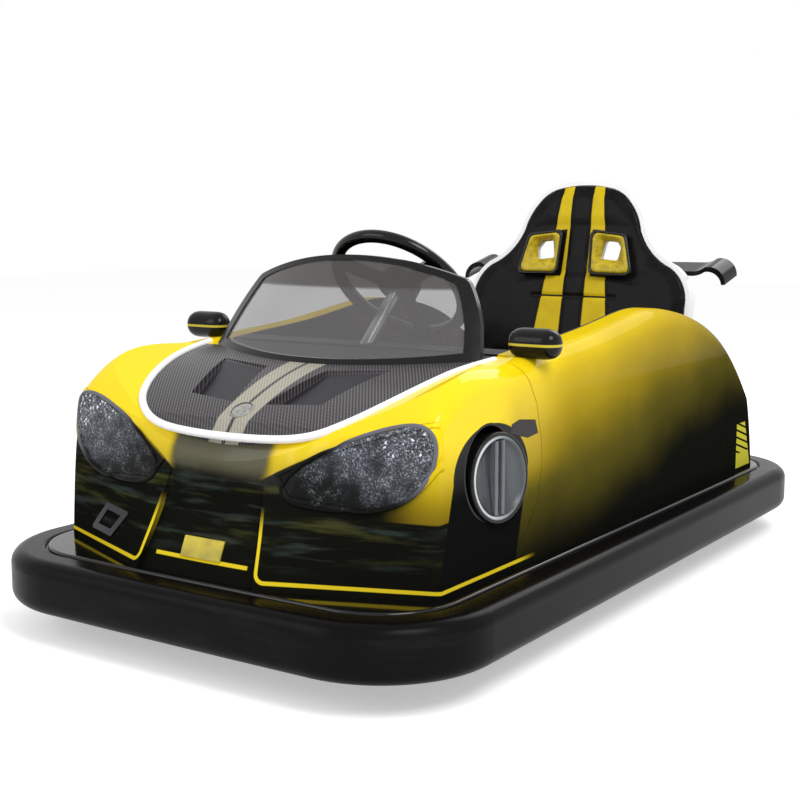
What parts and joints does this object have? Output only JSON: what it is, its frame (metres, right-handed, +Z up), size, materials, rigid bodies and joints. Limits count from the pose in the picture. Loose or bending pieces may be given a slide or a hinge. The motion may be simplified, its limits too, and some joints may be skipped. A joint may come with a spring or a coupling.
{
  "type": "bumper car",
  "caption": "Single-seat battery bumper car: rubber ring, moulded sports-car body, windscreen, bucket seat, rear wing, and a steered drive wheel turned by the steering wheel.",
  "frame": {"origin": "on the floor under the middle of the rubber ring", "axes": "+X forward, the way the rider faces; +Y to the car's left; +Z up"},
  "size_m": [1.95, 1.096, 0.9202],
  "materials": {
    "battery_case": "moulded battery case",
    "body_paint": "yellow gel coat fading to black",
    "bonnet_weave": "black woven-fibre look under clear coat",
    "bright_steel": "turned steel",
    "bumper_rubber": "gloss black moulded rubber",
    "cast_grey": "grey painted casting",
    "chassis_steel": "black painted welded steel",
    "deck_gloss": "gloss black moulded deck",
    "gloss_black": "gloss black moulding",
    "grey_trim": "dark grey trim",
    "lamp_lens": "dark lens with bright flecks",
    "liner_black": "textured black liner",
    "red_lens": "red lens",
    "rim_paint": "grey painted rim",
    "screen_glass": "smoke-tinted clear plastic",
    "seat_vinyl": "black vinyl with two yellow stripes",
    "tyre_rubber": "solid black tyre",
    "white_trim": "white gloss moulding",
    "yellow_trim": "yellow moulded trim"
  },
  "bodies": {
    "car": {"axle_bearings": "chassis_steel", "battery": "battery_case", "bonnet": "bonnet_weave", "bonnet_piping": "white_trim", "bumper_band": "chassis_steel", "bumper_ring": "bumper_rubber", "cockpit_tub": "liner_black", "crossmember_front": "chassis_steel", "crossmember_middle": "chassis_steel", "crossmember_rear": "chassis_steel", "crossmember_seat": "chassis_steel", "dash": "liner_black", "deck": "deck_gloss", "drive_bridge": "chassis_steel", "flank_left": "body_paint", "flank_right": "body_paint", "floor_plate": "chassis_steel", "fog_frame": "gloss_black", "front_plate": "yellow_trim", "front_shell": "body_paint", "harness_frames": "yellow_trim", "headlamp_left": "lamp_lens", "headlamp_right": "lamp_lens", "headlamp_rims": "grey_trim", "mirror_left": "gloss_black", "mirror_right": "gloss_black", "pedals": "chassis_steel", "rail_left": "chassis_steel", "rail_right": "chassis_steel", "rear_axle": "bright_steel", "rear_wing": "gloss_black", "seat_back_pad": "seat_vinyl", "seat_base": "liner_black", "seat_cushion": "seat_vinyl", "seat_shell": "white_trim", "side_vents": "grey_trim", "steering_gearbox": "cast_grey", "tail_lamps": "red_lens", "tail_shell": "body_paint", "wheel_cover_left": "grey_trim", "wheel_cover_right": "grey_trim", "windscreen": "screen_glass", "windscreen_frame": "gloss_black"},
    "steering": {"steering_wheel": "gloss_black", "steering_column": "bright_steel"},
    "drive_unit": {"drive_fork": "chassis_steel", "drive_motor": "cast_grey"},
    "drive_wheel": {"drive_tyre": "tyre_rubber", "drive_rim": "rim_paint"},
    "rear_wheel_left": {"rear_tyre_left": "tyre_rubber", "rear_rim_left": "rim_paint"},
    "rear_wheel_right": {"rear_tyre_right": "tyre_rubber", "rear_rim_right": "rim_paint"}
  },
  "joints": [
    {"name": "steering_turn", "type": "hinge", "parent": "car", "child": "steering", "pos_m": [0.219, 0, 0.674], "axis": [-0.7193, 0, 0.6947], "continuous": true},
    {"name": "drive_unit_swivel", "type": "hinge", "parent": "car", "child": "drive_unit", "pos_m": [0.59, 0, 0.24], "axis": [0, 0, 1], "continuous": true},
    {"name": "drive_wheel_spin", "type": "hinge", "parent": "drive_unit", "child": "drive_wheel", "pos_m": [0.59, 0, 0.1], "axis": [0, 1, 0], "continuous": true},
    {"name": "rear_wheel_left_spin", "type": "hinge", "parent": "car", "child": "rear_wheel_left", "pos_m": [-0.52, 0.41, 0.1], "axis": [0, 1, 0], "continuous": true},
    {"name": "rear_wheel_right_spin", "type": "hinge", "parent": "car", "child": "rear_wheel_right", "pos_m": [-0.52, -0.41, 0.1], "axis": [0, 1, 0], "continuous": true}
  ],
  "couplings": [
    {"joint": "drive_unit_swivel", "follows": "steering_turn", "ratio": 1}
  ]
}
